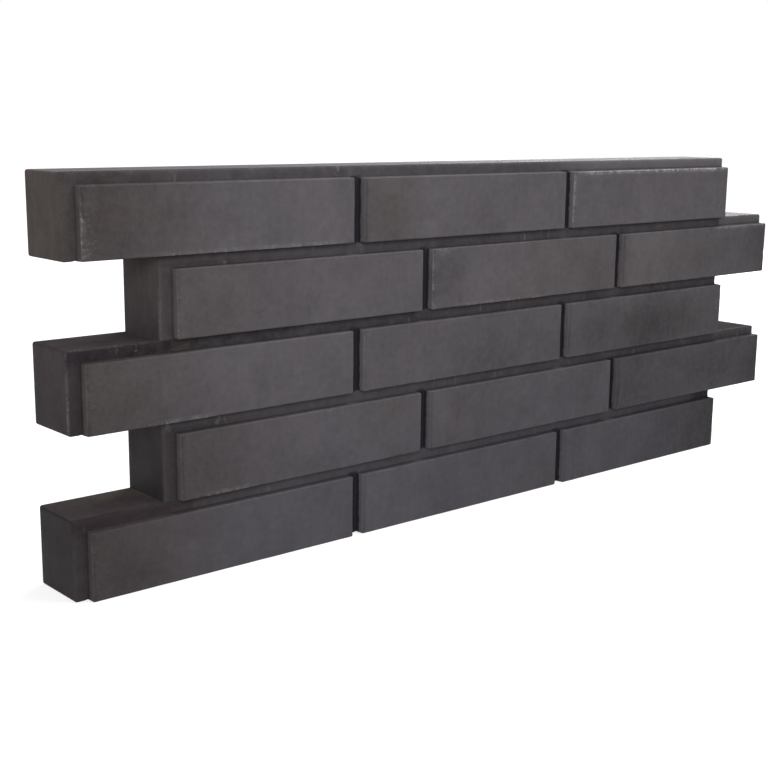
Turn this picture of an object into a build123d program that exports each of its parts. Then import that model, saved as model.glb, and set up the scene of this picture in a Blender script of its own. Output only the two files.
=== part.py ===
from build123d import *
import os

# A wall block cast in concrete, with courses of brickwork moulded on its front.
# X runs along the wall, Y to the back and Z up; sizes are in millimetres.

# Brickwork on the front.
brick_length = 240
brick_height = 52
head_joint = 10
bed_joint = 9
relief = 8
courses = 5
bricks_per_course = 3

# The whole block.
block_depth = 60
course_offset = 75

# Edges and slopes left by the mould.
draft_angle = 2
brick_edge = 1.2
brick_corner = 2
slab_edge = 1.5
slab_corner = 2
back_edge = 1.5

# Each brick carries its head joint on the left and its bed joint on top.
brick_pitch = brick_length + head_joint
course_height = brick_height + bed_joint
course_length = bricks_per_course * brick_pitch
block_length = course_length + course_offset
block_height = courses * course_height
joint_face = relief - block_depth / 2


def course_start(course):
    """Left end of a course: every second one is set over, which leaves toothed ends."""
    return course % 2 * course_offset - block_length / 2


# Slab with its toothed ends, from the face of the joints to the back.
courses_outline = Sketch() + [
    Pos(course_start(course), course * course_height)
    * Rectangle(course_length, course_height, align=Align.MIN)
    for course in range(courses)
]
slab_outline = fillet(courses_outline.vertices(), slab_corner)
slab = extrude(Plane.XZ.offset(-joint_face) * slab_outline, relief - block_depth)
slab = fillet(slab.faces().sort_by(Axis.Y)[0].edges(), slab_edge)

# One brick, standing proud of the joints, with sloping sides and a rounded front.
# Its root fills the slab's rounded arris where the bricks are flush with the bottom and right ends.
brick_outline = Rectangle(brick_length, brick_height, align=Align.MIN)
brick_outline = fillet(brick_outline.vertices(), brick_corner)
brick = extrude(Plane.XZ.offset(-joint_face) * brick_outline, relief, taper=draft_angle)
brick = fillet(brick.faces().sort_by(Axis.Y)[0].edges(), brick_edge)
brick += extrude(Plane.XZ.offset(-joint_face) * brick_outline, -2 * slab_edge)

bricks = [
    Pos(course_start(course) + head_joint + place * brick_pitch, 0, course * course_height) * brick
    for course in range(courses)
    for place in range(bricks_per_course)
]
block = slab + bricks
block = fillet(block.faces().sort_by(Axis.Y)[-1].edges(), back_edge)

os.makedirs("parts", exist_ok=True)
export_step(block, "parts/brickwork_block.step")
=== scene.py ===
import math

import bpy
import numpy as np
from mathutils import Matrix, Vector, noise


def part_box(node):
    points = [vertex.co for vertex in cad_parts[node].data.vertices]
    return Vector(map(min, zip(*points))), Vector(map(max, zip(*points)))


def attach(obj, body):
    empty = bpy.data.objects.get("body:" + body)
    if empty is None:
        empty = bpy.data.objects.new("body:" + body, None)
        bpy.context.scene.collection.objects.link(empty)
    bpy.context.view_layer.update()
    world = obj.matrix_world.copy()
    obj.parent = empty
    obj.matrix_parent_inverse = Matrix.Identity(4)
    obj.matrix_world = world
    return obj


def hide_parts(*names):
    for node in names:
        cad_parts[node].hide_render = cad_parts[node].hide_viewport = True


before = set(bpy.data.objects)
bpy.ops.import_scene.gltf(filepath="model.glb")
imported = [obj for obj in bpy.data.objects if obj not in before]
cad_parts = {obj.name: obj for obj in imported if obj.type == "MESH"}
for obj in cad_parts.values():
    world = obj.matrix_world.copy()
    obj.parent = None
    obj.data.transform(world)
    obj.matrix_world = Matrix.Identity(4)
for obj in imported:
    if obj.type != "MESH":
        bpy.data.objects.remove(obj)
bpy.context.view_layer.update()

# The block, in metres: X along the wall, Y to the back, Z up.
MM = 0.001
NODE = "brickwork_block"
LOW, HIGH = (np.array(corner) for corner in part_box(NODE))
COURSES = 5
BRICKS_PER_COURSE = 3
COURSE_OFFSET = 75 * MM
HEAD_JOINT = 10 * MM
BED_JOINT = 9 * MM
RELIEF = 8 * MM
DRAFT_ANGLE = 2
DRAFT_SLOPE = math.tan(math.radians(DRAFT_ANGLE))
BRICK_EDGE = 1.2 * MM
BRICK_CORNER = 1.4 * MM
SLAB_EDGE = 1.5 * MM
SLAB_CORNER = 2 * MM
WORN_END_EDGE = 5 * MM
BACK_EDGE = 1.5 * MM

COURSE_HEIGHT = (HIGH[2] - LOW[2]) / COURSES
COURSE_LENGTH = HIGH[0] - LOW[0] - COURSE_OFFSET
BRICK_PITCH = COURSE_LENGTH / BRICKS_PER_COURSE
BRICK_LENGTH = BRICK_PITCH - HEAD_JOINT
BRICK_HEIGHT = COURSE_HEIGHT - BED_JOINT
JOINT_FACE = LOW[1] + RELIEF

# Fineness of the mesh. The lines across the slab's edges are shares of the edge, and the first ring
# is a share of a side's step.
ARC_STEPS = 4
WALL_LEVELS = 2
FRONT_STEP = 3 * MM
SIDE_STEP = 5 * MM
BACK_STEP = 14 * MM
EDGE_ZONE = 6 * MM
SLAB_LINES = np.array([0, 0.15, 0.45, 1])
WORN_END_LINES = np.array([0.1, 0.2, 0.5, 0.75, 1])
FIRST_RING = 0.3
LINE_DIGITS = 7
SHARP_ANGLE = 40
SHARP_RADIUS = 1e-6
TINY = 1e-9

# Unevenness of a hand-filled mould: how much there is of it, and the size of its humps. The stride
# takes each brick, and the shift each seed, to a place of its own in the noise.
SEED_SHIFT = Vector((7.31, 3.17, 5.73))
BRICK_SHIFT = 0.35 * MM
BRICK_STRIDE = np.array([1.7, 0.9, 2.3])
EDGE_VARIATION = 0.3
EDGE_HUMP = 22 * MM
EDGE_ROUGHNESS = 0.15
EDGE_GRAIN = 5 * MM
EDGE_LIMITS = (0.6 * MM, 4 * MM)
SMALLEST_CORNER = 0.3 * MM
FACE_WAVE = 0.10 * MM
FACE_HUMP = 70 * MM
FACE_GRAIN = 18 * MM
FACE_GRAIN_SHARE = 0.5
JOINT_WAVE = 0.22 * MM
JOINT_HUMP = 9 * MM
BACK_WAVE = 0.15 * MM
BACK_HUMP = 60 * MM

# Dirt and painted shade in the joints, from the bottom course up: how thick it lies at places along the
# bed above each course, and on the margin at each course's left end.
BED_PLACES = (-0.35, -0.22, 0.0, 0.16, 0.29, 0.32)
BED_DIRT_AND_SHADE = [
    (0.48, 0.15, 0.12, 0.26, 0.30, 0.95),
    (0.48, 0.28, 0.32, 0.42, 0.50, 0.50),
    (0.78, 0.60, 0.50, 0.55, 0.55, 0.55),
    (0.52, 0.34, 0.45, 0.45, 0.45, 0.45),
    (0.40, 0.40, 0.40, 0.40, 0.40, 0.40),
]
MARGIN_DIRT_AND_SHADE = [0.35, 0.48, 0.60, 0.30, 0.10]
MARGIN_REACH = 5 * MM
# Painted shade in the inner corner of each open margin, beside the brick.
MARGIN_CORNER_SHADE = 0.2
SLOT_FADE = 2 * MM
SLOT_MOUTH = 1 * MM

# Painted shade, with a brown stain and mottling, on the bricks towards the left end, less on the courses that
# are set over. On the worn end the painted shade runs over the arris, by shares of the arris's width.
END_REACH = 150 * MM
SET_OVER_SHADE = 0.75
WORN_END_SHARES = [0, 0.2, 0.5, 1.2]
WORN_END_SHADE = [0.1, 1.0, 1.5, 1]

# Ledge colour on the bed joint's strip beside a ledge.
LEDGE_FADE = 45 * MM
LEDGE_STRIP_REACH = 10 * MM

# Lime bloom on the joint's strip along the top towards the right, and on the next ledge there.
BLOOM_START = 40 * MM
BLOOM_FADE = 120 * MM
LEDGE_BLOOM = 0.5

# Pale wear and painted highlights along the arrises: the share of a brick's side that they fade out over, the
# width of the rim that bright grains show on, and the wear of the slab's own arrises, which comes and goes.
WEAR_FADE = 0.08
RIM_WIDTH = 0.8 * MM
SLAB_WEAR = 0.35
SLAB_WEAR_WIDTH = 0.7 * MM
SLAB_WEAR_HUMP = 60 * MM
SLAB_WEAR_MIDDLE = 0.2
SLAB_WEAR_SWING = 1.5


def course_start(course):
    """Left end of a course: every second one is set over to the right."""
    return LOW[0] + course % 2 * COURSE_OFFSET


def course_end(course):
    return course_start(course) + COURSE_LENGTH


def course_base(course):
    return LOW[2] + course * COURSE_HEIGHT


def brick_starts(course):
    return course_start(course) + HEAD_JOINT + BRICK_PITCH * np.arange(BRICKS_PER_COURSE)


def course_of(z):
    """The course that a place on the front follows: a bed joint is shared at its middle."""
    course = np.floor((z - LOW[2] + BED_JOINT / 2) / COURSE_HEIGHT + TINY).astype(int)
    return np.clip(course, 0, COURSES - 1)


def waves(points, size, seed):
    """Smooth noise from -1 to 1 at each point, with humps of about the given size."""
    shift = SEED_SHIFT * seed
    return np.array([noise.noise(Vector(point) / size + shift) for point in points])


def smooth(share):
    """Eases a share that runs from 0 to 1."""
    share = np.clip(share, 0, 1)
    return share * share * (3 - 2 * share)


def edge_insets(edge):
    """How far in from a brick's outline each level of its edge lies: up the wall, then round the arris."""
    turns = np.linspace(0, math.pi / 2, ARC_STEPS + 1)
    wall_top = (RELIEF - edge) * DRAFT_SLOPE
    wall = wall_top * np.arange(WALL_LEVELS) / WALL_LEVELS
    return np.concatenate([wall, wall_top + edge * (1 - np.cos(turns))])


EDGE_INSETS = edge_insets(BRICK_EDGE)
EDGE_END = EDGE_INSETS[-1]
ARRIS_START = EDGE_END / 3

# Painted light and shade on a brick's left edge: a painted highlight on its wall and painted shade round its
# arris.
CHEEK_INSETS = EDGE_END * np.array([0, 0.08, 0.2, 0.4, 1, 2])
CHEEK_LIGHT_AND_SHADE = [0, 0.5, 0.5, -0.2, -0.5, 0]


def edge_levels(inset, edge):
    """Inset and height at a place that lies at the given inset on an edge of the usual radius."""
    level = np.interp(inset, EDGE_INSETS, np.arange(len(EDGE_INSETS)))
    wall_height = RELIEF - edge
    turn = np.clip((level - WALL_LEVELS) / ARC_STEPS, 0, 1) * math.pi / 2
    climb = np.clip(level / WALL_LEVELS, 0, 1) * wall_height
    height = climb + edge * np.sin(turn)
    moved = climb * DRAFT_SLOPE + edge * (1 - np.cos(turn))
    end = wall_height * DRAFT_SLOPE + edge
    past = (inset - EDGE_END) / EDGE_ZONE
    moved = np.where(past > 0, end + past * (EDGE_END + EDGE_ZONE - end), moved)
    moved = np.where(past > 1, inset, moved)
    return np.where(inset < 0, inset, moved), np.where(inset < 0, 0, height)


def arris_fall(inset, edge):
    """How far a rounded arris has dropped back at the given inset."""
    return edge * (1 - np.sqrt(1 - np.clip(1 - inset / edge, 0, 1) ** 2))


def nearer_edge(place, start, end):
    """Inset from the nearer of two edges, and the sign of the way in from it."""
    from_start = place - start
    from_end = end - place
    return np.minimum(from_start, from_end), np.where(from_start <= from_end, 1.0, -1.0)


def round_corner(first, second, radius):
    """Moves insets from two edges onto the arc of the rounded corner between them."""
    level = np.minimum(first, second)
    other = np.maximum(first, second)
    centre = level + radius
    share = np.clip((other - level) / np.maximum(radius, TINY), 0, 1)
    angle = math.pi / 4 * (1 - share)
    on_arc = (other < centre) & (radius > SHARP_RADIUS)
    near = np.where(on_arc, centre - radius * np.cos(angle), level)
    far = np.where(on_arc, centre - radius * np.sin(angle), other)
    return np.where(first <= second, near, far), np.where(first <= second, far, near)


def slab_insets(x, z, by_height):
    """Distances in from the free ends and ledges of the slab, large where there is no free edge."""
    far = HIGH[0] - LOW[0]
    starts = course_start(by_height)
    base = course_base(by_height)
    above = by_height + 1
    below = by_height - 1
    covered = (x >= course_start(above) - TINY) & (x <= course_end(above) + TINY) & (above < COURSES)
    carried = (x >= course_start(below) - TINY) & (x <= course_end(below) + TINY) & (below >= 0)
    sideways, x_sign = nearer_edge(x, starts, starts + COURSE_LENGTH)
    from_top = np.where(covered, far, base + COURSE_HEIGHT - z)
    from_base = np.where(carried, far, z - base)
    return sideways, x_sign, np.minimum(from_top, from_base), np.where(from_top < from_base, -1.0, 1.0)


class FrontPlaces:
    """Where each vertex of the front lies on its brick and on the slab."""

    def __init__(self, x, z, by_height):
        self.x = x
        self.z = z
        self.by_height = by_height
        self.flat = np.stack([x, np.zeros_like(x), z], 1)

        self.course = course_of(z)
        first_start = course_start(self.course) + HEAD_JOINT
        brick = np.round((x - first_start - BRICK_LENGTH / 2) / BRICK_PITCH)
        self.brick = np.clip(brick, 0, BRICKS_PER_COURSE - 1)
        left = first_start + self.brick * BRICK_PITCH
        base = course_base(self.course)
        self.from_side, self.side_sign = nearer_edge(x, left, left + BRICK_LENGTH)
        self.from_bed, self.bed_sign = nearer_edge(z, base, base + BRICK_HEIGHT)
        self.inset = np.minimum(self.from_side, self.from_bed)
        self.bare = self.inset < 0

        self.sideways, self.end_sign, self.upright, self.ledge_sign = slab_insets(x, z, by_height)
        self.free = np.minimum(self.sideways, self.upright)
        self.worn_end = (by_height == COURSES - 1) & (self.end_sign > 0)


# Chips on the arrises: course from the bottom, brick from the left, side, share along it, depth in
# millimetres.
CHIPS = [
    (4, 0, "left", 0.78, 1.5),
    (4, 0, "left", 0.55, 1.2),
    (4, 0, "left", 0.30, 0.9),
    (4, 2, "left", 0.60, 1.2),
    (4, 2, "left", 0.25, 1.0),
    (3, 1, "bottom", 0.35, 0.8),
    (2, 1, "bottom", 0.22, 1.3),
    (1, 0, "bottom", 0.08, 1.2),
    (1, 0, "bottom", 0.90, 1.4),
    (1, 0, "bottom", 0.94, 1.0),
    (1, 1, "bottom", 0.70, 1.0),
    (2, 0, "left", 0.40, 0.9),
    (0, 0, "left", 0.65, 0.8),
    (2, 2, "top", 0.75, 0.9),
    (0, 1, "top", 0.30, 0.8),
    (3, 2, "bottom", 0.55, 0.9),
]
CHIP_SIZE = 3 * MM

# Worn edges, the thin bright lines along the tops and left sides of the upper bricks being painted
# highlights: course, brick, side, where it starts and ends as shares, reach in millimetres, strength.
WORN_AND_HIGHLIGHT_EDGES = [
    (4, 0, "left", 0.0, 0.80, 5, 0.4),
    (4, 2, "left", 0.35, 1.0, 1.2, 0.8),
    (4, 2, "left", 0.05, 0.60, 1.2, 0.55),
    (4, 2, "top", 0.02, 1.05, 0.9, 2.3),
    (4, 2, "top", 0.60, 1.05, 3, 0.22),
    (3, 0, "left", 0.0, 1.0, 3, 0.2),
    (3, 1, "left", 0.05, 0.98, 1, 0.6),
    (3, 1, "left", -0.05, 0.14, 4, 0.3),
    (3, 1, "top", -0.02, 0.14, 4, 0.4),
    (3, 2, "top", 0.60, 1.05, 1, 0.7),
    (2, 0, "left", 0.20, 0.95, 4, 0.14),
    (2, 1, "left", 0.05, 0.95, 1, 0.2),
    (2, 0, "bottom", 0.20, 0.45, 0.6, 0.9),
    (4, 0, "bottom", 0.20, 0.60, 0.6, 0.6),
    (4, 0, "bottom", 0.55, 0.97, 0.6, 0.9),
    (3, 1, "bottom", 0.10, 0.60, 0.6, 0.6),
    (1, 0, "bottom", 0.05, 0.30, 0.6, 0.9),
    (0, 0, "left", 0.10, 0.90, 4, 0.1),
]

# Marks, and darker and lighter patches, on the brick faces: course, brick, shares along and up it, length and
# height in millimetres, strength.
BROWN_MARKS = [
    (4, 1, 0.115, 0.45, 42, 64, 0.8),
    (4, 0, 0.08, 0.60, 60, 40, 0.5),
    (3, 1, 0.78, 0.50, 160, 100, 0.5),
    (3, 2, 0.28, 0.42, 110, 44, 0.6),
    (2, 2, 0.55, 0.40, 190, 60, 0.2),
    (2, 0, 0.15, 0.45, 70, 30, 0.35),
    (1, 0, 0.88, 0.85, 26, 14, 0.7),
    (1, 1, 0.15, 0.50, 40, 25, 0.4),
    (0, 0, 0.20, 0.70, 60, 20, 0.4),
]
DARK_MARKS = [
    (4, 0, 0.10, 0.50, 110, 80, 0.4),
    (4, 0, 0.36, 0.50, 150, 120, 0.45),
    (4, 0, 0.98, 0.50, 50, 120, 0.4),
    (4, 1, 0.00, 0.50, 24, 110, 1.0),
    (4, 1, 0.06, 0.50, 70, 90, 0.7),
    (4, 1, 0.12, 0.86, 60, 14, 0.5),
    (3, 0, 0.62, 0.50, 120, 100, 0.35),
    (3, 1, 0.03, 0.45, 60, 70, 0.7),
    (3, 1, 0.92, 0.50, 120, 120, 0.35),
    (3, 2, 0.00, 0.50, 20, 110, 0.9),
    (3, 2, 0.65, 0.50, 90, 120, 0.7),
    (3, 2, 0.75, 0.25, 60, 14, 0.5),
    (3, 2, 1.00, 0.50, 100, 120, 1.6),
    (2, 1, 0.60, 0.50, 220, 90, 0.5),
    (2, 2, 0.56, 0.42, 220, 60, 1.7),
    (2, 2, 1.00, 0.50, 80, 120, 0.45),
    (1, 0, 0.55, 0.20, 60, 14, 0.4),
    (1, 1, 0.75, 0.45, 110, 60, 0.3),
    (1, 2, 0.08, 0.50, 140, 140, 1.2),
    (1, 2, 0.60, 0.55, 260, 80, 1.2),
    (1, 2, 0.97, 0.50, 110, 140, 1.5),
    (0, 0, 0.12, 0.30, 50, 25, 0.5),
    (0, 1, 0.95, 0.50, 90, 120, 0.4),
    (0, 2, 0.10, 0.50, 80, 140, 0.45),
    (0, 2, 0.60, 0.50, 240, 70, 0.5),
    (0, 2, 0.98, 0.50, 200, 140, 2.0),
]
LIGHT_MARKS = [
    (4, 0, 0.74, 0.50, 110, 100, 0.25),
    (3, 0, 0.85, 0.45, 90, 60, 0.3),
    (3, 2, 0.16, 0.50, 70, 100, 0.35),
    (1, 0, 0.40, 0.60, 120, 60, 0.2),
    (0, 1, 0.10, 0.50, 120, 120, 0.6),
]


def chip_places():
    """Centre and depth of each chip on the front."""
    places = []
    for course, brick, side, share, depth in CHIPS:
        left = brick_starts(course)[brick]
        base = course_base(course)
        along_x = left + share * BRICK_LENGTH
        spots = {
            "left": (left, base + share * BRICK_HEIGHT),
            "bottom": (along_x, base),
            "top": (along_x, base + BRICK_HEIGHT),
        }
        places.append((*spots[side], depth * MM))
    return places


def chip_depth(x, z):
    depth = np.zeros_like(x)
    for chip_x, chip_z, chip in chip_places():
        distance = np.hypot(x - chip_x, z - chip_z)
        depth = np.maximum(depth, chip * np.exp(-((distance / CHIP_SIZE) ** 2)))
    return depth


def edge_wear_and_highlights(x, z):
    """Pale rubbed patches, and painted highlights, along some of the bricks' edges."""
    wear_and_highlight = np.zeros_like(x)
    for course, brick, side, low, high, reach, strength in WORN_AND_HIGHLIGHT_EDGES:
        from_left = x - brick_starts(course)[brick]
        from_base = z - course_base(course)
        along_x = from_left / BRICK_LENGTH
        along_z = from_base / BRICK_HEIGHT
        inset, share = {
            "left": (from_left, along_z),
            "bottom": (from_base, along_x),
            "top": (BRICK_HEIGHT - from_base, along_x),
        }[side]
        across = along_x if side == "left" else along_z
        own = (inset > ARRIS_START) & (across < 1) & (across > 0)
        along = np.clip((share - low) / WEAR_FADE, 0, 1) * np.clip((high - share) / WEAR_FADE, 0, 1)
        beside = np.exp(-np.clip(inset - EDGE_END / 2, 0, None) / (reach * MM))
        wear_and_highlight = np.maximum(wear_and_highlight, own * strength * along * beside)
    return wear_and_highlight


def marks_on_faces(x, z, marks):
    """Soft-edged marks, each on the brick that it belongs to."""
    total = np.zeros_like(x)
    for course, brick, along, up, length, height, strength in marks:
        left = brick_starts(course)[brick]
        base = course_base(course)
        across = (x - left - along * BRICK_LENGTH) / (length * MM / 2)
        upward = (z - base - up * BRICK_HEIGHT) / (height * MM / 2)
        own = (x > left) & (x < left + BRICK_LENGTH) & (z > base) & (z < base + BRICK_HEIGHT)
        total = np.maximum(total, own * strength * np.exp(-(across ** 2) - upward ** 2))
    return total


def joint_dirt_and_shade_amounts(at):
    """Dirt and painted shade in the joints: thickest between two bricks, thinner in the beds and on the open
    margins.
    """
    between = np.clip((at.from_bed - at.from_side) / SLOT_FADE + 0.5, 0, 1)
    between = between * np.clip(1 + at.from_bed / SLOT_MOUTH, 0, 1)
    margin = np.array(MARGIN_DIRT_AND_SHADE)[at.course]
    in_corner = np.clip(1 + at.from_side / MARGIN_REACH, 0, 1)
    # Painted shade in the margin's inner corner beside the brick.
    margin = margin + (1 - margin) * MARGIN_CORNER_SHADE * in_corner
    open_side = (at.brick == 0) & (at.side_sign > 0)
    bed = np.choose(at.by_height, [np.interp(at.x, BED_PLACES, grime) for grime in BED_DIRT_AND_SHADE])
    return between * np.where(open_side, margin, 1), (1 - between) * bed


def lime_bloom(at):
    """1 on the strip of joint along the top towards the right, less on the right ledge of the next course."""
    above_brick = at.z > course_base(at.by_height) + BRICK_HEIGHT
    top = (at.by_height == COURSES - 1) * smooth((at.x - BLOOM_START) / BLOOM_FADE)
    next_ledge = (at.by_height == COURSES - 2) & (at.x > course_end(COURSES - 1))
    return above_brick * np.maximum(top, LEDGE_BLOOM * next_ledge)


def ledge_strip(at):
    """Ledge colour reaching from a lower left ledge onto the joint, fading where the next course begins."""
    brick_top = course_base(at.by_height) + BRICK_HEIGHT
    upward = smooth((at.z - brick_top + LEDGE_STRIP_REACH) / (LEDGE_STRIP_REACH + BED_JOINT / 2))
    open_above = (at.by_height % 2 == 0) & (at.by_height < COURSES - 1)
    off_face = smooth(1 - at.inset / EDGE_END)
    return upward * open_above * off_face * smooth((course_start(1) + LEDGE_FADE - at.x) / LEDGE_FADE)


def slab_wear(at):
    """Pale wear on the slab's free arrises, coming and going along them."""
    patchy = SLAB_WEAR_MIDDLE + SLAB_WEAR_SWING * waves(at.flat, SLAB_WEAR_HUMP, seed=8)
    on_arris = np.exp(-((at.free / SLAB_WEAR_WIDTH) ** 2)) * at.bare
    return SLAB_WEAR * (on_arris * np.clip(patchy, 0, 1) * ~at.worn_end)


def concrete_values(at):
    """What the concrete's colour follows, at each vertex of the front."""
    slot, bed = joint_dirt_and_shade_amounts(at)
    bloom = lime_bloom(at)
    left_edge = (at.side_sign > 0) & (at.from_side < at.from_bed)
    rim = np.exp(-(((at.inset - EDGE_END) / RIM_WIDTH) ** 2)) * (at.inset > ARRIS_START)
    # Painted shade, with a brown stain, towards each course's left end.
    end = smooth(1 - (at.x - course_start(at.course)) / END_REACH)
    end = end * np.where(at.course % 2, SET_OVER_SHADE, 1)
    # Painted shade over the worn end's rounded arris.
    shade_over_arris = np.interp(at.sideways / WORN_END_EDGE, WORN_END_SHARES, WORN_END_SHADE)
    return {
        "slot": slot,
        "bed": bed * (1 - bloom),
        "bloom": bloom,
        "rim": rim,
        "end": end * np.where(at.worn_end, shade_over_arris, 1),
        "ledge": ledge_strip(at),
        # Painted highlight on the left walls, painted shade round their arrises.
        "painted_cheek_light_and_shade": np.interp(at.inset, CHEEK_INSETS, CHEEK_LIGHT_AND_SHADE) * left_edge,
        "wear_and_highlight": np.maximum(edge_wear_and_highlights(at.x, at.z), slab_wear(at)),
        "brown": marks_on_faces(at.x, at.z, BROWN_MARKS),
        "dark": marks_on_faces(at.x, at.z, DARK_MARKS) - marks_on_faces(at.x, at.z, LIGHT_MARKS),
        "front": 1 - at.worn_end * smooth(1 - at.sideways / WORN_END_EDGE),
    }


def shape_bricks(at):
    """X, Y and Z of the front with its bricks raised, their edges and corners rounded."""
    broad = EDGE_VARIATION * waves(at.flat, EDGE_HUMP, seed=1)
    narrow = EDGE_ROUGHNESS * waves(at.flat, EDGE_GRAIN, seed=2)
    edge = np.clip(BRICK_EDGE * (1 + broad + narrow) + chip_depth(at.x, at.z), *EDGE_LIMITS)
    new_side, _ = edge_levels(at.from_side, edge)
    new_bed, _ = edge_levels(at.from_bed, edge)
    new_inset, height = edge_levels(at.inset, edge)

    # A joint takes over from its bricks towards its middle.
    half_joint = np.where(at.from_side < at.from_bed, HEAD_JOINT, BED_JOINT) / 2
    hold = np.clip(1 + at.inset / half_joint, 0, 1)
    brick_corner = np.maximum(BRICK_CORNER - new_inset, SMALLEST_CORNER)
    corner = np.where(at.bare, BRICK_CORNER * hold, brick_corner)
    round_side, round_bed = round_corner(new_side, new_bed, corner)

    number = at.course * BRICKS_PER_COURSE + at.brick
    own = number[:, None] * BRICK_STRIDE
    shift_x = BRICK_SHIFT * waves(own, 1.0, seed=3)
    shift_z = BRICK_SHIFT * waves(own, 1.0, seed=4)
    x = at.x + hold * (at.side_sign * (round_side - at.from_side) + shift_x)
    z = at.z + hold * (at.bed_sign * (round_bed - at.from_bed) + shift_z)
    return x, JOINT_FACE - height, z


def shape_slab(at, x, y, z):
    """Rounds the free arrises and corners of the slab, where no brick stands."""
    end_edge = np.where(at.worn_end, WORN_END_EDGE, SLAB_EDGE)
    fall = np.maximum(arris_fall(at.sideways, end_edge), arris_fall(at.upright, SLAB_EDGE))
    y = np.where(at.bare, y + fall, y)
    radius = np.maximum(SLAB_CORNER - at.free, 0)
    round_x, round_z = round_corner(at.sideways, at.upright, radius)
    in_corner = at.bare & (np.maximum(at.sideways, at.upright) < SLAB_CORNER)
    x = np.where(in_corner, at.x + at.end_sign * (round_x - at.sideways), x)
    z = np.where(in_corner, at.z + at.ledge_sign * (round_z - at.upright), z)
    return x, y, z


def ripples(at):
    """How far the brick faces and joints lie back for their slight unevenness."""
    on_face = np.clip(at.inset / EDGE_END, 0, 1)
    face = waves(at.flat, FACE_HUMP, seed=5) + FACE_GRAIN_SHARE * waves(at.flat, FACE_GRAIN, seed=6)
    in_joint = at.bare * (at.free > SLAB_EDGE)
    joint = in_joint * JOINT_WAVE * waves(at.flat, JOINT_HUMP, seed=7)
    return on_face * (FACE_WAVE * face + FACE_WAVE) + joint


def shape_front(x, z, by_height):
    """Places of the front's vertices, and what the concrete's colour follows there."""
    at = FrontPlaces(x, z, by_height)
    x, y, z = shape_slab(at, *shape_bricks(at))
    return np.stack([x, y + ripples(at), z], 1), concrete_values(at)


def fill_lines(marks, step):
    """The marks in order, with further lines between them where they lie more than a step apart."""
    marks = np.unique(np.round(marks, LINE_DIGITS))
    lines = [marks[:1]]
    for start, end in zip(marks[:-1], marks[1:]):
        count = max(1, math.ceil((end - start) / step))
        lines.append(np.linspace(start, end, count + 1)[1:])
    return np.concatenate(lines)


def grid_lines():
    """X and Z places of the front's mesh lines, close together across every edge of the bricks and slab."""
    slab_marks = SLAB_EDGE * SLAB_LINES
    across = np.append(EDGE_INSETS, BRICK_CORNER)
    x_marks = [course_start(0) + WORN_END_EDGE * WORN_END_LINES]
    z_marks = []
    for course in range(2):
        x_marks.append(course_start(course) + slab_marks)
        x_marks.append(course_end(course) - slab_marks)
        for start in brick_starts(course):
            x_marks.append(start + across)
            x_marks.append(start + BRICK_LENGTH - across)
    for course in range(COURSES):
        base = course_base(course)
        z_marks.append(base + across)
        z_marks.append(base + BRICK_HEIGHT - across)
        z_marks.append(base + COURSE_HEIGHT - slab_marks)
    return fill_lines(np.concatenate(x_marks), FRONT_STEP), fill_lines(np.concatenate(z_marks), FRONT_STEP)


def coarse_lines(lines, fixed):
    """Places in the list of lines that stand about a coarse step apart, with the fixed lines among them."""
    fixed_places = sorted({int(np.argmin(np.abs(lines - value))) for value in fixed})
    kept = [fixed_places[0]]
    for start, end in zip(fixed_places[:-1], fixed_places[1:]):
        count = max(1, round((lines[end] - lines[start]) / BACK_STEP))
        for value in np.linspace(lines[start], lines[end], count + 1)[1:-1]:
            place = int(np.argmin(np.abs(lines - value)))
            if kept[-1] < place < end:
                kept.append(place)
        kept.append(end)
    return kept


def cells_on_block(x_lines, z_lines):
    """Which cells between the lines lie on the block, by row and column, and the course of each row."""
    middle_x = (x_lines[:-1] + x_lines[1:]) / 2
    middle_z = (z_lines[:-1] + z_lines[1:]) / 2
    course = np.floor((middle_z - LOW[2]) / COURSE_HEIGHT).astype(int)
    starts = course_start(course)[:, None]
    inside = (middle_x[None, :] > starts) & (middle_x[None, :] < starts + COURSE_LENGTH)
    return inside, course


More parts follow.
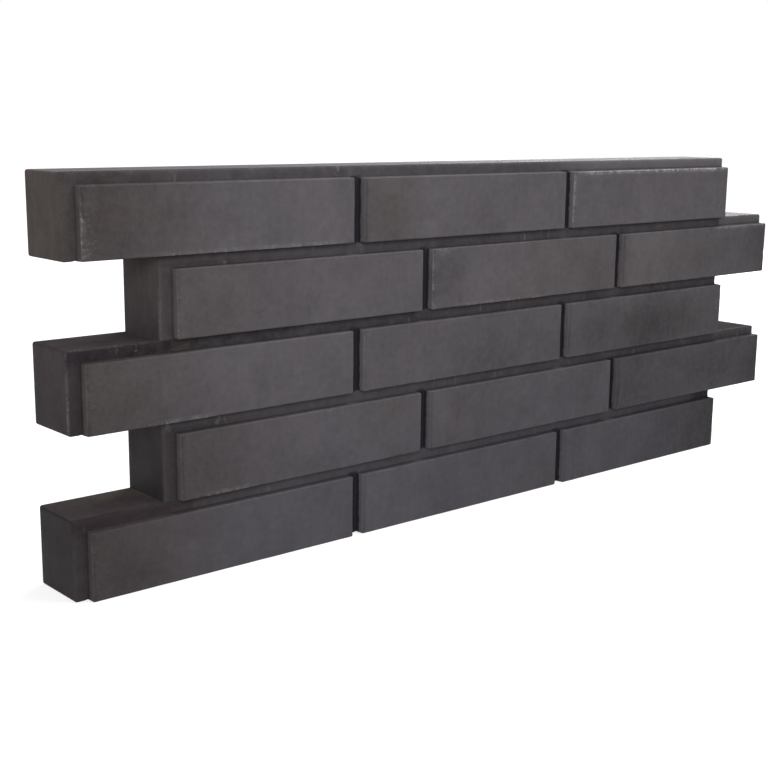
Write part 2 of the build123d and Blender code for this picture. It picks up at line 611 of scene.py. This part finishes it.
class BlockMesh:
    """One closed mesh: the toothed front with its brickwork, the sides, and a coarser back."""

    def __init__(self):
        self.x_lines, self.z_lines = grid_lines()
        self.inside, self.row_course = cells_on_block(self.x_lines, self.z_lines)
        self.points = []
        self.faces = []
        self.count = 0
        self.add_front()
        self.find_outline()
        self.add_sides()
        self.add_back()

    def crossing(self, i, j):
        """Number of the crossing of two mesh lines."""
        return j * len(self.x_lines) + i

    def add_points(self, points):
        """Adds vertices and gives their numbers."""
        numbers = self.count + np.arange(len(points))
        self.points.append(points)
        self.count += len(points)
        return numbers

    def add_front(self):
        quads = []
        course_at = {}
        for j, i in zip(*np.nonzero(self.inside)):
            corners = [(i, j), (i + 1, j), (i + 1, j + 1), (i, j + 1)]
            quad = [self.crossing(*corner) for corner in corners]
            quads.append(quad)
            for corner in quad:
                course_at.setdefault(corner, self.row_course[j])
        used = sorted(course_at)
        self.number = {crossing: vertex for vertex, crossing in enumerate(used)}
        row, column = np.divmod(used, len(self.x_lines))
        by_height = np.array([course_at[crossing] for crossing in used])
        front, self.values = shape_front(self.x_lines[column], self.z_lines[row], by_height)
        self.front = np.clip(front, LOW, HIGH)
        self.add_points(self.front)
        self.faces += [tuple(self.number[corner] for corner in quad) for quad in quads]

    def find_outline(self):
        """Edges that only one face of the front has, their vertices, and the ways in from them."""
        edges = {}
        for face in self.faces:
            for first, second in zip(face, face[1:] + face[:1]):
                if (second, first) in edges:
                    del edges[(second, first)]
                else:
                    edges[(first, second)] = True
        self.outline = list(edges)
        self.rim = sorted({vertex for edge in self.outline for vertex in edge})
        self.place_on_rim = {vertex: place for place, vertex in enumerate(self.rim)}
        self.ways_in = np.zeros((len(self.rim), 2))
        for first, second in self.outline:
            along = self.front[second][[0, 2]] - self.front[first][[0, 2]]
            along /= max(np.linalg.norm(along), TINY)
            inward = np.array([-along[1], along[0]])
            self.ways_in[self.place_on_rim[first]] += inward
            self.ways_in[self.place_on_rim[second]] += inward
        self.ways_in /= np.maximum(np.linalg.norm(self.ways_in, axis=1), TINY)[:, None]

    def add_sides(self):
        """Rings from the front's outline to the back, with a rounded arris there and dirt on the ledges."""
        start = self.front[self.rim]
        depth_steps = math.ceil((HIGH[1] - BACK_EDGE - JOINT_FACE) / SIDE_STEP)
        levels = [(FIRST_RING / depth_steps, 0.0)]
        levels += [(step / depth_steps, 0.0) for step in range(1, depth_steps + 1)]
        levels += [(1.0, turn) for turn in np.linspace(0, math.pi / 2, ARC_STEPS + 1)[1:]]
        upper = np.array(self.rim)
        for share, turn in levels:
            ring = start.copy()
            ring[:, 1] += share * (HIGH[1] - BACK_EDGE - start[:, 1]) + BACK_EDGE * math.sin(turn)
            ring[:, [0, 2]] += self.ways_in * BACK_EDGE * (1 - math.cos(turn))
            lower = self.add_points(ring)
            for first, second in self.outline:
                one = self.place_on_rim[first]
                other = self.place_on_rim[second]
                self.faces.append((upper[other], upper[one], lower[one], lower[other]))
            upper = lower
        self.last_ring = upper

        lower_course = start[:, 2] < course_base(COURSES - 1) - COURSE_HEIGHT / 2
        dirty_ledge = np.clip(-self.ways_in[:, 1], 0, 1) * lower_course
        self.values["ledge"] = np.concatenate([self.values["ledge"], np.tile(dirty_ledge, len(levels))])

    def add_back(self):
        """Coarse cells that take in every vertex of the outline."""
        ends = [course_start(0), course_start(1), course_end(0), course_end(1)]
        keep_x = coarse_lines(self.x_lines, ends)
        keep_z = coarse_lines(self.z_lines, [course_base(course) for course in range(COURSES + 1)])
        self.back_places = []
        self.back_numbers = {}
        for i0, i1 in zip(keep_x[:-1], keep_x[1:]):
            for j0, j1 in zip(keep_z[:-1], keep_z[1:]):
                if self.inside[j0, i0]:
                    self.faces += self.back_cell(i0, j0, i1, j1)
        self.add_points(np.array(self.back_places))

    def back_cell(self, i0, j0, i1, j1):
        """Faces of a coarse cell: one, or a fan from its middle where it meets the finer outline."""
        cell = self.back_side(i0, j0, i0, j1) + self.back_side(i0, j1, i1, j1)
        cell += self.back_side(i1, j1, i1, j0) + self.back_side(i1, j0, i0, j0)
        if len(cell) == 4:
            return [tuple(cell)]
        middle_x = (self.x_lines[i0] + self.x_lines[i1]) / 2
        middle_z = (self.z_lines[j0] + self.z_lines[j1]) / 2
        middle = self.back_point(middle_x, middle_z)
        return [(first, second, middle) for first, second in zip(cell, cell[1:] + cell[:1])]

    def back_side(self, i0, j0, i1, j1):
        """Vertices from one corner of a coarse cell up to the next one, fine along the outline."""
        steps = max(abs(i1 - i0), abs(j1 - j0))
        way_i = (i1 - i0) // steps
        way_j = (j1 - j0) // steps
        places = [(i0 + way_i * step, j0 + way_j * step) for step in range(steps)]
        if not all(self.number[self.crossing(*place)] in self.place_on_rim for place in places):
            places = places[:1]
        return [self.back_vertex(*place) for place in places]

    def back_vertex(self, i, j):
        crossing = self.crossing(i, j)
        vertex = self.number[crossing]
        if vertex in self.place_on_rim:
            return self.last_ring[self.place_on_rim[vertex]]
        if crossing not in self.back_numbers:
            self.back_numbers[crossing] = self.back_point(self.x_lines[i], self.z_lines[j])
        return self.back_numbers[crossing]

    def back_point(self, x, z):
        """Number of a new vertex in the slight hollow of the back."""
        hollow = BACK_WAVE * (1 + noise.noise(Vector((x, 0, z)) / BACK_HUMP))
        self.back_places.append((x, HIGH[1] - hollow, z))
        return self.count + len(self.back_places) - 1


def add_values(mesh, name, values):
    """A value for each vertex, nothing on those past the end of the list."""
    full = np.zeros(len(mesh.vertices), np.float32)
    full[: len(values)] = values
    mesh.attributes.new(name, "FLOAT", "POINT").data.foreach_set("value", full)


def build_block():
    shape = BlockMesh()
    mesh = bpy.data.meshes.new("cast_block")
    faces = [tuple(int(vertex) for vertex in face) for face in shape.faces]
    mesh.from_pydata(np.concatenate(shape.points).tolist(), [], faces)
    mesh.validate()
    mesh.polygons.foreach_set("use_smooth", [True] * len(mesh.polygons))
    mesh.set_sharp_from_angle(angle=math.radians(SHARP_ANGLE))
    for name, values in shape.values.items():
        add_values(mesh, name, values)
    block = bpy.data.objects.new("cast_block", mesh)
    bpy.context.scene.collection.objects.link(block)
    return block


class Nodes:
    """Short calls for building a material's nodes."""

    def __init__(self, material):
        material.use_nodes = True
        self.tree = material.node_tree
        self.tree.nodes.clear()

    def add(self, kind, **settings):
        node = self.tree.nodes.new(kind)
        for name, value in settings.items():
            setattr(node, name, value)
        return node

    def join(self, output, socket):
        self.tree.links.new(output, socket)

    def feed(self, socket, value):
        """Links an output, or sets a plain value."""
        if isinstance(value, bpy.types.NodeSocket):
            self.join(value, socket)
        else:
            socket.default_value = value

    def math(self, operation, first, second=0.0, clamp=False):
        node = self.add("ShaderNodeMath", operation=operation, use_clamp=clamp)
        self.feed(node.inputs[0], first)
        self.feed(node.inputs[1], second)
        return node.outputs[0]

    def plus(self, first, second, clamp=False):
        return self.math("ADD", first, second, clamp)

    def minus(self, first, second, clamp=False):
        return self.math("SUBTRACT", first, second, clamp)

    def times(self, first, second, clamp=False):
        return self.math("MULTIPLY", first, second, clamp)

    def less(self, amount):
        """What is left of 1 after taking the amount away."""
        return self.minus(1.0, amount)

    def swing(self, value, amount):
        """A value from 0 to 1 about its middle, as a share to add."""
        return self.times(self.minus(value, 0.5), amount)

    def ramp(self, value, low, high):
        """Runs from 0 to 1 as the value goes from low to high."""
        node = self.add("ShaderNodeMapRange", interpolation_type="SMOOTHSTEP")
        self.feed(node.inputs["Value"], value)
        node.inputs["From Min"].default_value = low
        node.inputs["From Max"].default_value = high
        return node.outputs["Result"]

    def mix(self, share, first, second, blend="MIX"):
        node = self.add("ShaderNodeMix", data_type="RGBA", blend_type=blend)
        self.feed(node.inputs[0], share)
        self.feed(node.inputs[6], first)
        self.feed(node.inputs[7], second)
        return node.outputs[2]

    def parts(self, vector):
        """X, Y and Z of a vector."""
        node = self.add("ShaderNodeSeparateXYZ")
        self.join(vector, node.inputs[0])
        return node.outputs["X"], node.outputs["Y"], node.outputs["Z"]

    def attribute(self, name):
        return self.add("ShaderNodeAttribute", attribute_name=name).outputs["Fac"]

    def surface(self, shader, kind="ShaderNodeOutputMaterial"):
        self.join(shader.outputs[0], self.add(kind).inputs["Surface"])


# Colours of the concrete.
PURPLE_GREY = (0.0850, 0.0788, 0.0868, 1)
WARM_GREY = (0.0860, 0.0780, 0.0836, 1)
BROWN = (0.0800, 0.0672, 0.0675, 1)
BLUE_GREY = (0.0830, 0.0768, 0.0890, 1)
END_BROWN = (0.0840, 0.0685, 0.0630, 1)
END_PURPLE = (0.0840, 0.0692, 0.0765, 1)
OLIVE = (0.0805, 0.0685, 0.0625, 1)
LEDGE_BROWN = (0.0620, 0.0455, 0.0465, 1)
LEDGE_OLIVE = (0.0730, 0.0590, 0.0470, 1)
# Dark of the dirt and painted shade in the joints, and of the pits on the back.
DARK_DIRT_AND_SHADE = (0.0110, 0.0095, 0.0130, 1)
PALE = (0.30, 0.29, 0.295, 1)
# Pale of rubbed edges, and of painted highlights along some arrises.
RUBBED_AND_HIGHLIGHT = (0.42, 0.41, 0.42, 1)

# Noise in the concrete: humps in a metre, detail, roughness. A stretch gives the humps along X, Y and Z.
CLOUDS = (11, 3.0, 0.55)
BLOTCHES = (48, 3.0, 0.6)
STREAKS = (1.0, 2.0, 0.5)
STREAK_STRETCH = (170, 170, 30)
MOTTLING = (170, 2.0, 0.6)
END_MOTTLING = (330, 2.0, 0.6)
HUES = (30, 2.0, 0.5)
STAINS = (19, 3.0, 0.6)
OLIVE_PATCHES = (24, 3.0, 0.5)
DIRT_MOTTLE = (110, 3.0, 0.65)
DIRT_LEVEL = (180, 2.0, 0.5)
TICKS = (1.0, 0.0, 0.5)
TICK_STRETCH = (130, 0, 22)
TICK_BREAKS = (260, 1.0, 0.5)
GRAIN = (800, 2.0, 0.5)
BRIGHT_GRAINS = (600, 1.0, 0.5)
WORN_SPECKS = (420, 2.0, 0.6)
WORN_PATCHES = (95, 2.0, 0.5)
PITS = (210, 1.0, 0.5)
SHEEN = (40, 3.0, 0.5)
FINE_RELIEF = (700, 3.0, 0.5)
BROAD_RELIEF = (160, 2.0, 0.5)
TROWELLING = (1.0, 3.0, 0.6)
TROWEL_STRETCH = (12, 12, 80)

# Between which two levels of its noise each of these sets in.
HUE_SPAN = (0.36, 0.64)
STAIN_SPAN = (0.58, 0.78)
OLIVE_SPAN = (0.48, 0.66)
TICK_SPAN = (0.71, 0.76)
TICK_BREAK_SPAN = (0.4, 0.6)
GRAIN_SPAN = (0.62, 0.8)
BRIGHT_GRAIN_SPAN = (0.70, 0.78)
WORN_SPECK_SPAN = (0.5, 0.68)
WORN_PATCH_SPAN = (0.35, 0.6)
PIT_SPAN = (0.70, 0.76)

# Between which two places each part of the block sets in, and how squarely a face has to look one way.
FACING = (0.5, 0.9)
BASE_TO_FRONT = (0.0, 0.22)
BASE_TO_ENDS = (0.15, 0.27)
NOTCH = (LOW[0] + 0.4 * COURSE_OFFSET, LOW[0] + 0.9 * COURSE_OFFSET)
RIGHT_HALF = (-0.1, 0.1)
UPPER_LEDGES = (0.08, 0.17)
TOP_FACE = (0.21, 0.28)
SMOOTHER_TOP = (LOW[0], HIGH[0] - 0.3)
SLOT_DEPTH = (LOW[1] + 0.55 * RELIEF, LOW[1] + 0.75 * RELIEF)
BED_DEPTH = (LOW[1] + 0.70 * RELIEF, LOW[1] + 0.95 * RELIEF)

# How much each adds to the brightness.
CLOUD_SWING = 0.45
BLOTCH_SWING = 0.42
STREAK_SWING = 0.12
WALL_STREAK_SWING = 0.3
MOTTLING_SWING = 0.36
END_MOTTLING_SWING = 0.4
# Strength of the painted light and shade on the bricks' left edges.
CHEEK_LIGHT_AND_SHADE_STRENGTH = 0.5
DARK_MARK_TONE = 0.26
# Painted light on the top face.
TOP_FACE_PAINTED_LIGHT = 0.3

# How much brightness each place loses: darker towards the base and on the ends, painted shade towards the
# left end, in the notches and on the upper and right ledges.
BASE_DULLNESS = 0.21
WALL_DULLNESS = 0.19
LOWER_WALL_DULLNESS = 0.40
BASE_WALL_DULLNESS = 0.32
NOTCH_SHADE = 0.14
LEFT_END_SHADE = 0.30
UPPER_LEDGE_SHADE = 0.35
RIGHT_LEDGE_SHADE = 0.85

# How far each colour covers what lies under it.
BLUE_COVER = 0.8
STAIN_COVER = 0.25
LEFT_END_STAIN = 0.9
BROWN_MARK_COVER = 0.8
OLIVE_COVER = 0.5
LOW_OLIVE_LOSS = 0.7
LEDGE_COVER = 0.35
LEDGE_COVER_SWING = 0.9
DIRT_AND_SHADE_COVER = 0.92
DIRT_PATCHES = 1.6
DIRT_LEVEL_SWING = 3 * MM
TICK_COVER = 0.35
BLOOM_COVER = 0.09
GRAIN_COVER = 0.07
BRIGHT_GRAIN_COVER = 0.35
RUBBED_AND_HIGHLIGHT_COVER = 0.8
WORN_SPECK_SHARE = 0.55
WORN_PATCH_SHARE = 0.25
WORN_EVENLY = 0.06
PIT_COVER = 0.5

# Finish: how matt it is, and the height of its fine relief.
SPECULAR_LEVEL = 0.1
MATT = 0.55
SHEEN_SWING = 0.25
LEDGE_DUST = 0.3
TOP_DUST = 0.35
TOP_POLISH = 0.3
BROAD_HEIGHT = 1.5
TROWEL_HEIGHT = 5.0
PIT_HEIGHT = 4.0
BUMP_STRENGTH = 0.35
BUMP_DISTANCE = 0.25 * MM


class Concrete(Nodes):
    """Smooth cast anthracite concrete: clouded, finely grained, dirty and with painted shade in the joints,
    pale where rubbed, with painted light and shade in places.
    """

    def __init__(self, material):
        super().__init__(material)
        self.place = self.add("ShaderNodeTexCoord").outputs["Object"]
        self.x, self.y, self.z = self.parts(self.place)
        facing = self.add("ShaderNodeNewGeometry").outputs["Normal"]
        facing_x, facing_y, facing_z = self.parts(facing)
        self.upward = self.ramp(facing_z, *FACING)
        self.behind = self.ramp(facing_y, *FACING)
        sideways = self.ramp(self.math("ABSOLUTE", facing_x), *FACING)
        self.flank = self.minus(1.0, self.attribute("front"), clamp=True)
        self.wall = self.times(self.flank, sideways)
        self.end = self.attribute("end")
        self.ledge = self.attribute("ledge")
        self.on_ledge = self.times(self.ledge, self.upward)
        self.right_half = self.ramp(self.x, *RIGHT_HALF)
        self.low_front = self.less(self.ramp(self.z, *BASE_TO_FRONT))
        self.low_end = self.less(self.ramp(self.z, *BASE_TO_ENDS))
        self.mottle = self.noise(DIRT_MOTTLE)
        self.pits = self.patches(PITS, PIT_SPAN)

    def noise(self, kind, stretch=None):
        scale, detail, roughness = kind
        node = self.add("ShaderNodeTexNoise")
        self.join(self.stretched(stretch) if stretch else self.place, node.inputs["Vector"])
        node.inputs["Scale"].default_value = scale
        node.inputs["Detail"].default_value = detail
        node.inputs["Roughness"].default_value = roughness
        return node.outputs["Fac"]

    def stretched(self, factors):
        node = self.add("ShaderNodeMapping")
        self.join(self.place, node.inputs["Vector"])
        node.inputs["Scale"].default_value = factors
        return node.outputs["Vector"]

    def patches(self, kind, span, stretch=None):
        """Noise cut off so that it shows in patches."""
        return self.ramp(self.noise(kind, stretch), *span)

    def brightness(self):
        """Clouds, blotches, faint upright streaks, fine mottling, the marks on the faces, painted light and
        shade on the bricks' left edges, and painted light on the top face.
        """
        tone = self.plus(self.swing(self.noise(CLOUDS), CLOUD_SWING), 1.0)
        tone = self.plus(tone, self.swing(self.noise(BLOTCHES), BLOTCH_SWING))
        streaks = self.swing(self.noise(STREAKS, STREAK_STRETCH), 1.0)
        streak_swing = self.plus(self.times(self.wall, WALL_STREAK_SWING), STREAK_SWING)
        tone = self.plus(tone, self.times(streaks, streak_swing))
        tone = self.plus(tone, self.swing(self.noise(MOTTLING), MOTTLING_SWING))
        # Painted highlight on the left walls and painted shade round their arrises.
        tone = self.plus(tone, self.times(self.attribute("painted_cheek_light_and_shade"), CHEEK_LIGHT_AND_SHADE_STRENGTH))
        tone = self.minus(tone, self.times(self.attribute("dark"), DARK_MARK_TONE))
        # Painted light on the top face, not on the ledges.
        painted_top_light = self.times(self.less(self.ledge), TOP_FACE_PAINTED_LIGHT)
        tone = self.plus(tone, self.times(self.times(self.upward, self.flank), painted_top_light))
        end_mottling = self.swing(self.noise(END_MOTTLING), END_MOTTLING_SWING)
        return self.plus(tone, self.times(end_mottling, self.end))

    def darken_and_paint_shade(self, tone):
        """Darker towards the base and on the ends, most of all the lower ends; painted shade on the bricks
        towards the left end, in the notches and on the upper and right ledges.
        """
        in_notch = self.ramp(self.x, *NOTCH)
        upper = self.ramp(self.z, *UPPER_LEDGES)
        darker_and_shaded_places = [
            (self.low_front, BASE_DULLNESS),
            (self.wall, WALL_DULLNESS),
            (self.times(self.low_end, self.wall), LOWER_WALL_DULLNESS),
            (self.times(self.low_front, self.wall), BASE_WALL_DULLNESS),
            # Painted shade in the notches, towards the left end and on the upper and right ledges.
            (self.times(in_notch, self.wall), NOTCH_SHADE),
            (self.end, LEFT_END_SHADE),
            (self.times(self.on_ledge, upper), UPPER_LEDGE_SHADE),
            (self.times(self.on_ledge, self.right_half), RIGHT_LEDGE_SHADE),
        ]
        for place, darkening in darker_and_shaded_places:
            tone = self.times(tone, self.less(self.times(place, darkening)))
        return tone

    def front_color(self):
        """Purple and warm greys, bluer at the base, browner in places and towards the left end."""
        color = self.mix(self.patches(HUES, HUE_SPAN), PURPLE_GREY, WARM_GREY)
        color = self.mix(self.times(self.low_front, BLUE_COVER), color, BLUE_GREY)
        stains = self.times(self.patches(STAINS, STAIN_SPAN), STAIN_COVER)
        stains = self.plus(stains, self.times(self.end, LEFT_END_STAIN), clamp=True)
        color = self.mix(stains, color, BROWN)
        return self.mix(self.times(self.attribute("brown"), BROWN_MARK_COVER), color, OLIVE)

    def ends_and_ledges(self, color):
        """The ends brown above, purple below, olive in patches. The ledges dull brown with olive patches."""
        color = self.mix(self.wall, color, self.mix(self.low_end, END_BROWN, END_PURPLE))
        patches = self.patches(OLIVE_PATCHES, OLIVE_SPAN)
        olive = self.times(self.wall, patches)
        olive = self.times(olive, self.less(self.times(self.low_end, LOW_OLIVE_LOSS)))
        color = self.mix(self.times(olive, OLIVE_COVER), color, OLIVE)
        ledge_patches = self.times(patches, self.less(self.right_half))
        ledge_color = self.mix(ledge_patches, LEDGE_BROWN, LEDGE_OLIVE)
        ledge_dirt = self.plus(self.times(self.mottle, LEDGE_COVER_SWING), LEDGE_COVER, clamp=True)
        return self.mix(self.times(self.ledge, ledge_dirt), color, ledge_color)

    def joint_dirt_and_shade(self, color):
        """Patchy dirt and painted shade up to an uneven height on the joints' walls, ticks across the beds,
        and lime bloom.
        """
        depth = self.plus(self.y, self.swing(self.noise(DIRT_LEVEL), DIRT_LEVEL_SWING))
        in_slot = self.times(self.ramp(depth, *SLOT_DEPTH), self.attribute("slot"))
        in_bed = self.times(self.ramp(depth, *BED_DEPTH), self.attribute("bed"))
        dirt_and_shade = self.times(self.plus(in_slot, in_bed, clamp=True), self.attribute("front"))
        patchy = self.times(self.less(in_slot), self.swing(self.mottle, DIRT_PATCHES))
        dirt_and_shade = self.times(dirt_and_shade, self.less(patchy))
        # Dirt and painted shade darken the joints.
        color = self.mix(self.times(dirt_and_shade, DIRT_AND_SHADE_COVER, clamp=True), color, DARK_DIRT_AND_SHADE)
        ticks = self.patches(TICKS, TICK_SPAN, TICK_STRETCH)
        ticks = self.times(ticks, self.patches(TICK_BREAKS, TICK_BREAK_SPAN))
        color = self.mix(self.times(self.times(ticks, in_bed), TICK_COVER), color, PALE)
        return self.mix(self.times(self.attribute("bloom"), BLOOM_COVER), color, PALE)

    def worn(self, color):
        """Fine pale grain, a few bright grains on the arrises, and rubbed edges with painted highlights along
        some of them.
        """
        color = self.mix(self.times(self.patches(GRAIN, GRAIN_SPAN), GRAIN_COVER), color, PALE)
        specks = self.times(self.patches(WORN_SPECKS, WORN_SPECK_SPAN), WORN_SPECK_SHARE)
        patches = self.times(self.patches(WORN_PATCHES, WORN_PATCH_SPAN), WORN_PATCH_SHARE)
        wear_and_highlight = self.plus(self.plus(specks, patches), WORN_EVENLY)
        # Rubbed edges and painted highlights.
        rubbed_and_highlight = self.times(self.attribute("wear_and_highlight"), wear_and_highlight, clamp=True)
        bright = self.times(self.patches(BRIGHT_GRAINS, BRIGHT_GRAIN_SPAN), self.attribute("rim"))
        bright = self.times(bright, self.times(self.less(self.ledge), BRIGHT_GRAIN_COVER))
        return self.mix(self.math("MAXIMUM", self.times(rubbed_and_highlight, RUBBED_AND_HIGHLIGHT_COVER), bright), color, RUBBED_AND_HIGHLIGHT)

    def pitted(self, color):
        """Small dark pits on the back."""
        return self.mix(self.times(self.times(self.pits, self.behind), PIT_COVER), color, DARK_DIRT_AND_SHADE)

    def roughness(self):
        """Matt, dusty on the ledges and the top, and rubbed smoother on the top towards the right."""
        matt = self.plus(self.times(self.noise(SHEEN), SHEEN_SWING), MATT)
        matt = self.plus(matt, self.times(self.ledge, LEDGE_DUST))
        top = self.times(self.times(self.upward, self.less(self.ledge)), self.ramp(self.z, *TOP_FACE))
        polish = self.times(self.ramp(self.x, *SMOOTHER_TOP), TOP_POLISH)
        return self.plus(matt, self.times(top, self.minus(TOP_DUST, polish)))

    def relief(self):
        """Fine relief all over; the back is drawn off along its length and pitted."""
        relief = self.plus(self.noise(FINE_RELIEF), self.times(self.noise(BROAD_RELIEF), BROAD_HEIGHT))
        trowelled = self.times(self.noise(TROWELLING, TROWEL_STRETCH), TROWEL_HEIGHT)
        trowelled = self.minus(trowelled, self.times(self.pits, PIT_HEIGHT))
        relief = self.plus(relief, self.times(trowelled, self.behind))
        bump = self.add("ShaderNodeBump")
        bump.inputs["Strength"].default_value = BUMP_STRENGTH
        bump.inputs["Distance"].default_value = BUMP_DISTANCE
        self.join(relief, bump.inputs["Height"])
        return bump.outputs["Normal"]


def concrete_material():
    material = bpy.data.materials.new("anthracite_concrete")
    concrete = Concrete(material)
    color = concrete.ends_and_ledges(concrete.front_color())
    color = concrete.mix(1.0, color, concrete.darken_and_paint_shade(concrete.brightness()), "MULTIPLY")
    color = concrete.pitted(concrete.worn(concrete.joint_dirt_and_shade(color)))
    shader = concrete.add("ShaderNodeBsdfPrincipled")
    shader.inputs["Specular IOR Level"].default_value = SPECULAR_LEVEL
    concrete.join(color, shader.inputs["Base Color"])
    concrete.join(concrete.roughness(), shader.inputs["Roughness"])
    concrete.join(concrete.relief(), shader.inputs["Normal"])
    concrete.surface(shader)
    return material


block = build_block()
block.data.materials.append(concrete_material())
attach(block, "root")
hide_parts(NODE)

# Studio: a pale floor, a white surround, soft lamps at the front left and overhead, and a weak one behind.
# The lamps: name, place, width, power.
WHITE = (1, 1, 1, 1)
FLOOR_HALF = 8.0
FLOOR_SEEN = (0.6, 0.6, 0.6, 1)
FLOOR_UNDER_OBJECT = (0.3, 0.3, 0.3, 1)
FLOOR_GLOW = 0.62
FAR_FLOOR_GLOW = 0.32
FAR_FLOOR = (0.8, 3.0)
WORLD_LIGHT = 0.27
CENTRE = (0, 0, (LOW[2] + HIGH[2]) / 2)
LAMPS = [
    ("key_lamp", (-1.80, -2.20, 1.05), 1.4, 73),
    ("top_lamp", (0.25, -0.25, 1.6), 0.9, 18),
    ("back_lamp", (2.0, 1.4, 0.9), 1.4, 36),
]


def seen_directly(nodes):
    """1 for what the camera sees by itself or in a reflection, 0 for the light on the object."""
    path = nodes.add("ShaderNodeLightPath")
    direct = nodes.math("MAXIMUM", path.outputs["Is Camera Ray"], path.outputs["Is Glossy Ray"])
    return nodes.math("MAXIMUM", direct, path.outputs["Is Transmission Ray"])


def floor_material():
    """Matt and pale, lit up to white where it is seen, more so further off where the lamp doesn't reach."""
    material = bpy.data.materials.new("pale_floor")
    nodes = Nodes(material)
    seen = seen_directly(nodes)
    matte = nodes.add("ShaderNodeBsdfDiffuse")
    nodes.join(nodes.mix(seen, FLOOR_UNDER_OBJECT, FLOOR_SEEN), matte.inputs["Color"])
    distance = nodes.add("ShaderNodeVectorMath", operation="LENGTH")
    nodes.join(nodes.add("ShaderNodeTexCoord").outputs["Object"], distance.inputs[0])
    far = nodes.ramp(distance.outputs["Value"], *FAR_FLOOR)
    level = nodes.plus(nodes.times(far, FAR_FLOOR_GLOW), FLOOR_GLOW)
    glow = nodes.add("ShaderNodeEmission")
    nodes.join(nodes.times(seen, level), glow.inputs["Strength"])
    both = nodes.add("ShaderNodeAddShader")
    nodes.join(matte.outputs[0], both.inputs[0])
    nodes.join(glow.outputs[0], both.inputs[1])
    nodes.surface(both)
    return material


def build_floor():
    mesh = bpy.data.meshes.new("floor")
    corners = [(-1, -1), (1, -1), (1, 1), (-1, 1)]
    mesh.from_pydata([(x * FLOOR_HALF, y * FLOOR_HALF, LOW[2]) for x, y in corners], [], [(0, 1, 2, 3)])
    mesh.materials.append(floor_material())
    floor = bpy.data.objects.new("floor", mesh)
    bpy.context.scene.collection.objects.link(floor)


def light_world():
    world = bpy.data.worlds.new("studio")
    bpy.context.scene.world = world
    nodes = Nodes(world)
    background = nodes.add("ShaderNodeBackground")
    background.inputs["Color"].default_value = WHITE
    level = nodes.plus(nodes.times(seen_directly(nodes), 1 - WORLD_LIGHT), WORLD_LIGHT)
    nodes.join(level, background.inputs["Strength"])
    nodes.surface(background, "ShaderNodeOutputWorld")


def add_lamp(name, place, size, power):
    """A round soft lamp turned to the middle of the block."""
    data = bpy.data.lights.new(name, "AREA")
    data.shape = "DISK"
    data.size = size
    data.energy = power
    lamp = bpy.data.objects.new(name, data)
    lamp.location = place
    lamp.rotation_euler = (Vector(CENTRE) - Vector(place)).to_track_quat("-Z", "Y").to_euler()
    bpy.context.scene.collection.objects.link(lamp)


# Camera at the photograph's place, worked out from corners of the block in it. Angles are in degrees.
PICTURE = 768
FOCAL_PIXELS = 1296
SENSOR_WIDTH = 36
CAMERA_PLACE = (-0.8185, -0.828, 0.343)
CAMERA_TURN = -40.77
CAMERA_DOWN = 11.64
CAMERA_ROLL = 0.60


def add_camera():
    data = bpy.data.cameras.new("camera")
    data.sensor_width = SENSOR_WIDTH
    data.lens = FOCAL_PIXELS / PICTURE * SENSOR_WIDTH
    camera = bpy.data.objects.new("camera", data)
    turn = Matrix.Rotation(math.radians(CAMERA_TURN), 4, "Z")
    tilt = Matrix.Rotation(math.radians(90 - CAMERA_DOWN), 4, "X")
    roll = Matrix.Rotation(math.radians(CAMERA_ROLL), 4, "Z")
    camera.matrix_world = Matrix.Translation(CAMERA_PLACE) @ turn @ tilt @ roll
    bpy.context.scene.collection.objects.link(camera)
    bpy.context.scene.camera = camera


build_floor()
light_world()
for lamp in LAMPS:
    add_lamp(*lamp)
add_camera()
bpy.context.scene.view_settings.view_transform = "Standard"
